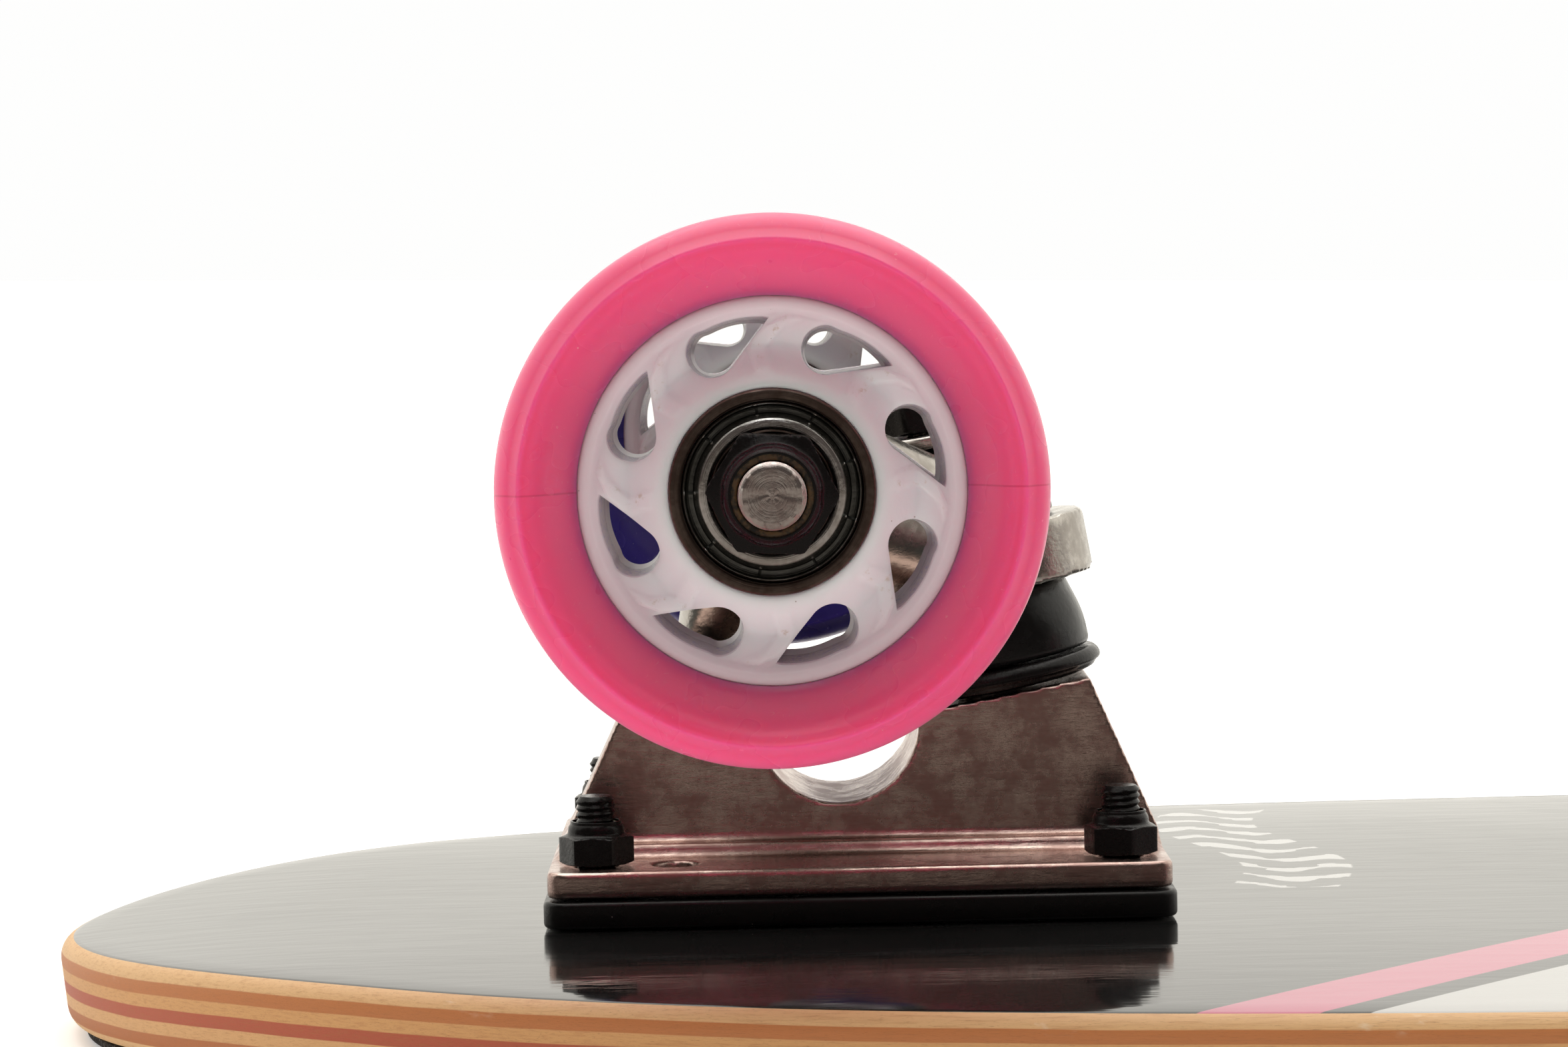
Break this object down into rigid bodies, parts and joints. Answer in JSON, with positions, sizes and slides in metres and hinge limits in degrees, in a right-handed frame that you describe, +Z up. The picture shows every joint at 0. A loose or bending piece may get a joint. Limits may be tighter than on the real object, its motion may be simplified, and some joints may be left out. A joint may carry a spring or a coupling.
{
  "type": "skateboard",
  "caption": "Pointed-nose cruiser skateboard with leaning trucks and free-rolling wheels, set down upside down on its nose and kicktail.",
  "frame": {"origin": "middle of the bounding box at floor level", "axes": "+X from the nose towards the tail, +Y towards the board's left side (rider facing the nose, board the right way up), +Z up with the board upside down"},
  "size_m": [0.6924, 0.194, 0.1101],
  "materials": {
    "deck_maple": "seven-ply maple with a glossy lacquered underside and rounded, sanded edges",
    "grip": "coarse black abrasive tape",
    "black_rubber": "smooth black urethane rubber",
    "baseplate_metal": "polished, plated casting",
    "hanger_metal": "polished, plated casting",
    "axle_steel": "plated steel, turned",
    "black_steel": "black-oxide steel",
    "pink_urethane": "semi-translucent poured urethane",
    "violet_urethane": "semi-translucent poured urethane",
    "milky_core": "milky, slightly translucent moulded plastic",
    "bearing_steel": "ground bearing steel with a pressed shield"
  },
  "bodies": {
    "board": {"deck": "deck_maple", "grip_tape": "grip", "nose_riser_pad": "black_rubber", "nose_baseplate": "baseplate_metal", "nose_pivot_cup": "black_rubber", "nose_kingpin": "axle_steel", "nose_bottom_bushing": "black_rubber", "nose_bottom_washer": "black_steel", "nose_top_bushing": "black_rubber", "nose_top_washer": "axle_steel", "nose_kingpin_nut": "black_steel", "nose_bolt_outer_right": "black_steel", "nose_bolt_nut_outer_right": "black_steel", "nose_bolt_outer_left": "black_steel", "nose_bolt_nut_outer_left": "black_steel", "nose_bolt_inner_right": "black_steel", "nose_bolt_nut_inner_right": "black_steel", "nose_bolt_inner_left": "black_steel", "nose_bolt_nut_inner_left": "black_steel", "tail_riser_pad": "black_rubber", "tail_baseplate": "baseplate_metal", "tail_pivot_cup": "black_rubber", "tail_kingpin": "axle_steel", "tail_bottom_bushing": "black_rubber", "tail_bottom_washer": "black_steel", "tail_top_bushing": "black_rubber", "tail_top_washer": "axle_steel", "tail_kingpin_nut": "black_steel", "tail_bolt_outer_right": "black_steel", "tail_bolt_nut_outer_right": "black_steel", "tail_bolt_outer_left": "black_steel", "tail_bolt_nut_outer_left": "black_steel", "tail_bolt_inner_right": "black_steel", "tail_bolt_nut_inner_right": "black_steel", "tail_bolt_inner_left": "black_steel", "tail_bolt_nut_inner_left": "black_steel"},
    "nose_truck": {"nose_hanger": "hanger_metal", "nose_axle": "axle_steel", "nose_right_axle_nut": "black_steel", "nose_left_axle_nut": "black_steel"},
    "nose_right_wheel": {"nose_right_tyre": "pink_urethane", "nose_right_core": "milky_core", "nose_right_outer_bearing": "bearing_steel", "nose_right_inner_bearing": "bearing_steel"},
    "nose_left_wheel": {"nose_left_tyre": "violet_urethane", "nose_left_core": "milky_core", "nose_left_outer_bearing": "bearing_steel", "nose_left_inner_bearing": "bearing_steel"},
    "tail_truck": {"tail_hanger": "hanger_metal", "tail_axle": "axle_steel", "tail_right_axle_nut": "black_steel", "tail_left_axle_nut": "black_steel"},
    "tail_right_wheel": {"tail_right_tyre": "pink_urethane", "tail_right_core": "milky_core", "tail_right_outer_bearing": "bearing_steel", "tail_right_inner_bearing": "bearing_steel"},
    "tail_left_wheel": {"tail_left_tyre": "violet_urethane", "tail_left_core": "milky_core", "tail_left_outer_bearing": "bearing_steel", "tail_left_inner_bearing": "bearing_steel"}
  },
  "joints": [
    {"name": "nose_truck_lean", "type": "hinge", "parent": "board", "child": "nose_truck", "pos_m": [-0.23235, 0, 0.05865], "axis": [0.8938, 0, 0.4484], "range_deg": [-12, 12], "stiffness_Nm_per_rad": 40, "deforming": ["nose_bottom_bushing", "nose_top_bushing"]},
    {"name": "nose_right_wheel_spin", "type": "hinge", "parent": "nose_truck", "child": "nose_right_wheel", "pos_m": [-0.25702, -0.07615, 0.07165], "axis": [0, 1, 0], "continuous": true},
    {"name": "nose_left_wheel_spin", "type": "hinge", "parent": "nose_truck", "child": "nose_left_wheel", "pos_m": [-0.25702, 0.07615, 0.07165], "axis": [0, 1, 0], "continuous": true},
    {"name": "tail_truck_lean", "type": "hinge", "parent": "board", "child": "tail_truck", "pos_m": [0.15727, 0, 0.06666], "axis": [-0.9115, 0, 0.4113], "range_deg": [-12, 12], "stiffness_Nm_per_rad": 40, "deforming": ["tail_bottom_bushing", "tail_top_bushing"]},
    {"name": "tail_right_wheel_spin", "type": "hinge", "parent": "tail_truck", "child": "tail_right_wheel", "pos_m": [0.18139, -0.07615, 0.08066], "axis": [0, 1, 0], "continuous": true},
    {"name": "tail_left_wheel_spin", "type": "hinge", "parent": "tail_truck", "child": "tail_left_wheel", "pos_m": [0.18139, 0.07615, 0.08066], "axis": [0, 1, 0], "continuous": true}
  ]
}
